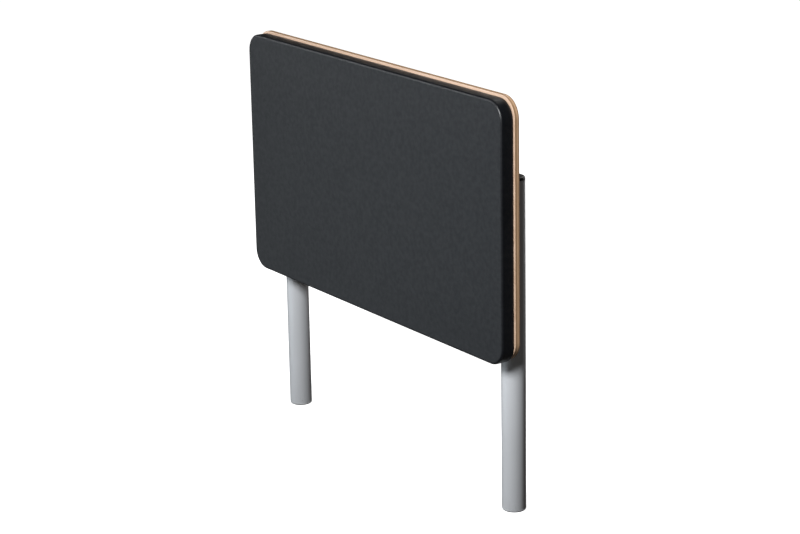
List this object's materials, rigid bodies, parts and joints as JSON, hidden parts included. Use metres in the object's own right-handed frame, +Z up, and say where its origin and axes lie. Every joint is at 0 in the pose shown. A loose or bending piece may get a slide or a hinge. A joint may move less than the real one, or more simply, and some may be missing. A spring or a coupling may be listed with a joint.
{
  "type": "slant board",
  "caption": "Wide padded board with rounded corners on a plywood back, carried by a pair of round steel posts that plug into floor or bench sockets.",
  "frame": {"origin": "midway between the undersides of the two posts' lower end plugs, in the plane of the posts' axes", "axes": "+Z up along the posts, +X along the board's width towards the right-hand post as seen from the padded side, the pad faces -Y"},
  "size_m": [0.716, 0.074, 0.663],
  "materials": {
    "leatherette": "charcoal black artificial leather, fine grain, satin",
    "foam": "open-cell polyurethane foam, hidden",
    "base_board": "wood fibre board, hidden",
    "birch_plywood": "birch plywood, clear satin lacquer, plies showing on the edge",
    "silver_paint": "silver-grey powder coat on steel, fine texture, satin",
    "grey_plastic": "grey moulded end plug, satin",
    "black_plastic": "black moulded end plug, satin",
    "zinc_steel": "bright zinc-plated steel",
    "black_steel": "black oxide steel, lightly oiled"
  },
  "bodies": {
    "root": {"plywood_board": "birch_plywood", "pad_base_board": "base_board", "pad_foam": "foam", "pad_cover": "leatherette", "left_post_tube": "silver_paint", "left_lower_plug": "grey_plastic", "left_upper_plug": "black_plastic", "left_upper_plate": "silver_paint", "left_upper_weld_inner": "silver_paint", "left_upper_weld_outer": "silver_paint", "left_lower_plate": "silver_paint", "left_lower_weld_inner": "silver_paint", "left_lower_weld_outer": "silver_paint", "right_post_tube": "silver_paint", "right_lower_plug": "grey_plastic", "right_upper_plug": "black_plastic", "right_upper_plate": "silver_paint", "right_upper_weld_inner": "silver_paint", "right_upper_weld_outer": "silver_paint", "right_lower_plate": "silver_paint", "right_lower_weld_inner": "silver_paint", "right_lower_weld_outer": "silver_paint", "left_upper_inner_bolt": "black_steel", "left_upper_inner_washer": "zinc_steel", "left_upper_inner_insert_nut": "zinc_steel", "left_upper_outer_bolt": "black_steel", "left_upper_outer_washer": "zinc_steel", "left_upper_outer_insert_nut": "zinc_steel", "left_lower_inner_bolt": "black_steel", "left_lower_inner_washer": "zinc_steel", "left_lower_inner_insert_nut": "zinc_steel", "left_lower_outer_bolt": "black_steel", "left_lower_outer_washer": "zinc_steel", "left_lower_outer_insert_nut": "zinc_steel", "right_upper_inner_bolt": "black_steel", "right_upper_inner_washer": "zinc_steel", "right_upper_inner_insert_nut": "zinc_steel", "right_upper_outer_bolt": "black_steel", "right_upper_outer_washer": "zinc_steel", "right_upper_outer_insert_nut": "zinc_steel", "right_lower_inner_bolt": "black_steel", "right_lower_inner_washer": "zinc_steel", "right_lower_inner_insert_nut": "zinc_steel", "right_lower_outer_bolt": "black_steel", "right_lower_outer_washer": "zinc_steel", "right_lower_outer_insert_nut": "zinc_steel", "pad_screw_1": "zinc_steel", "pad_screw_2": "zinc_steel", "pad_screw_3": "zinc_steel", "pad_screw_4": "zinc_steel", "pad_screw_5": "zinc_steel", "pad_screw_6": "zinc_steel"}
  },
  "joints": []
}
